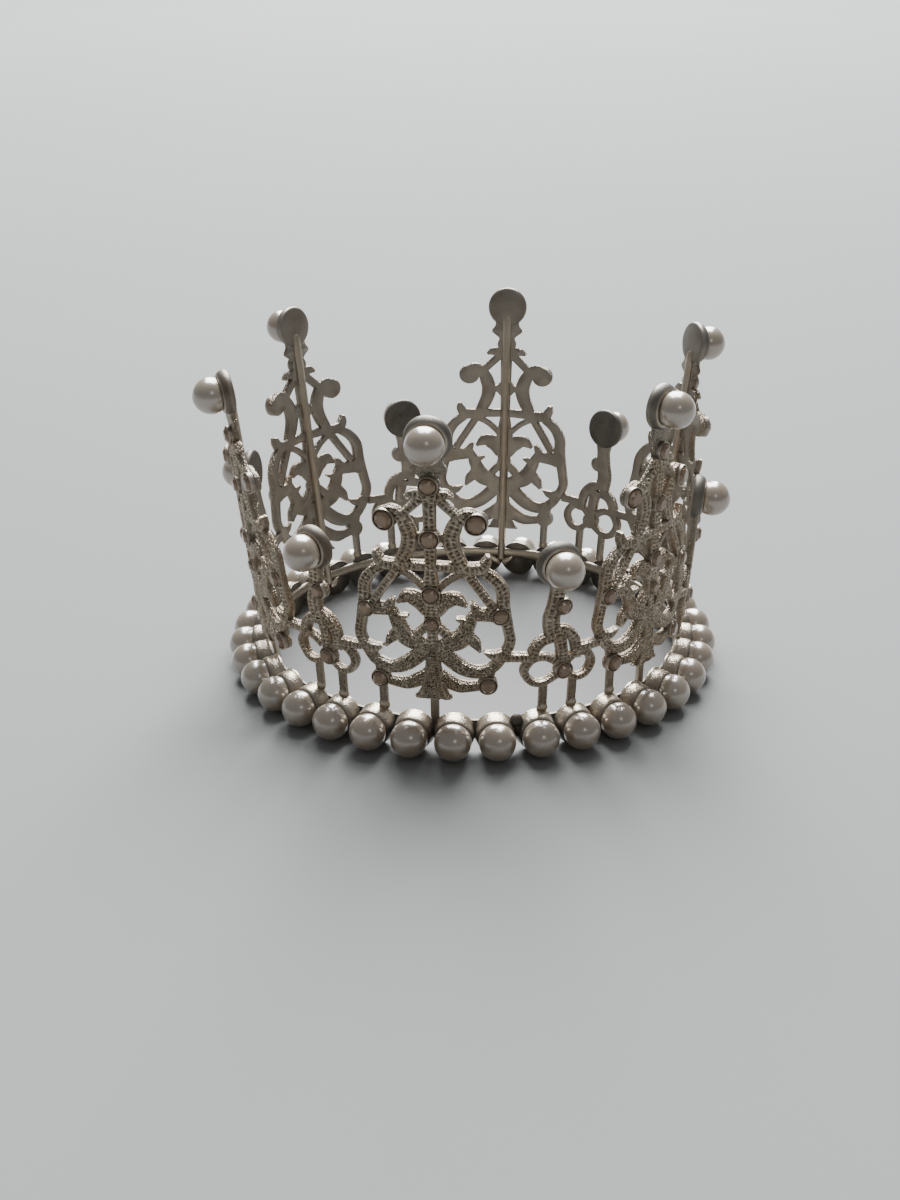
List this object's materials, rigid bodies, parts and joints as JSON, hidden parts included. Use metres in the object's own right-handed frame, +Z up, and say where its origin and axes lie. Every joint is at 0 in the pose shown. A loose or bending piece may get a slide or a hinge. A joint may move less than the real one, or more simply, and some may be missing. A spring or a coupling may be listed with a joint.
{
  "type": "round tiara crown",
  "caption": "Small round filigree crown: pierced panels, tall and low in turn, stand on a band of cups, with a pearl in each cup and at each panel's tip and cut stones in the scrolls.",
  "frame": {"origin": "on the axis of the ring, level with the surface that the cups of the base stand on", "axes": "+Z up along the axis of the ring, -Y towards the tall panel at the front, +X to the right of that panel seen from outside"},
  "size_m": [0.1044, 0.1088, 0.0671],
  "materials": {
    "antique_metal": "satin",
    "pearl": "gloss",
    "stone": "gloss"
  },
  "bodies": {
    "root": {"base_band": "antique_metal", "panel_pair_1": "antique_metal", "panel_pair_2": "antique_metal", "panel_pair_3": "antique_metal", "panel_pair_4": "antique_metal", "panel_pair_5": "antique_metal", "panel_pair_6": "antique_metal", "base_pearl_01": "pearl", "base_pearl_02": "pearl", "base_pearl_03": "pearl", "base_pearl_04": "pearl", "base_pearl_05": "pearl", "base_pearl_06": "pearl", "base_pearl_07": "pearl", "base_pearl_08": "pearl", "base_pearl_09": "pearl", "base_pearl_10": "pearl", "base_pearl_11": "pearl", "base_pearl_12": "pearl", "base_pearl_13": "pearl", "base_pearl_14": "pearl", "base_pearl_15": "pearl", "base_pearl_16": "pearl", "base_pearl_17": "pearl", "base_pearl_18": "pearl", "base_pearl_19": "pearl", "base_pearl_20": "pearl", "base_pearl_21": "pearl", "base_pearl_22": "pearl", "base_pearl_23": "pearl", "base_pearl_24": "pearl", "base_pearl_25": "pearl", "base_pearl_26": "pearl", "base_pearl_27": "pearl", "base_pearl_28": "pearl", "base_pearl_29": "pearl", "base_pearl_30": "pearl", "base_pearl_31": "pearl", "base_pearl_32": "pearl", "base_pearl_33": "pearl", "base_pearl_34": "pearl", "base_pearl_35": "pearl", "base_pearl_36": "pearl", "tall_pearl_1": "pearl", "tall_pearl_2": "pearl", "tall_pearl_3": "pearl", "tall_pearl_4": "pearl", "tall_pearl_5": "pearl", "tall_pearl_6": "pearl", "low_pearl_1": "pearl", "low_pearl_2": "pearl", "low_pearl_3": "pearl", "low_pearl_4": "pearl", "low_pearl_5": "pearl", "low_pearl_6": "pearl"}
  },
  "joints": []
}
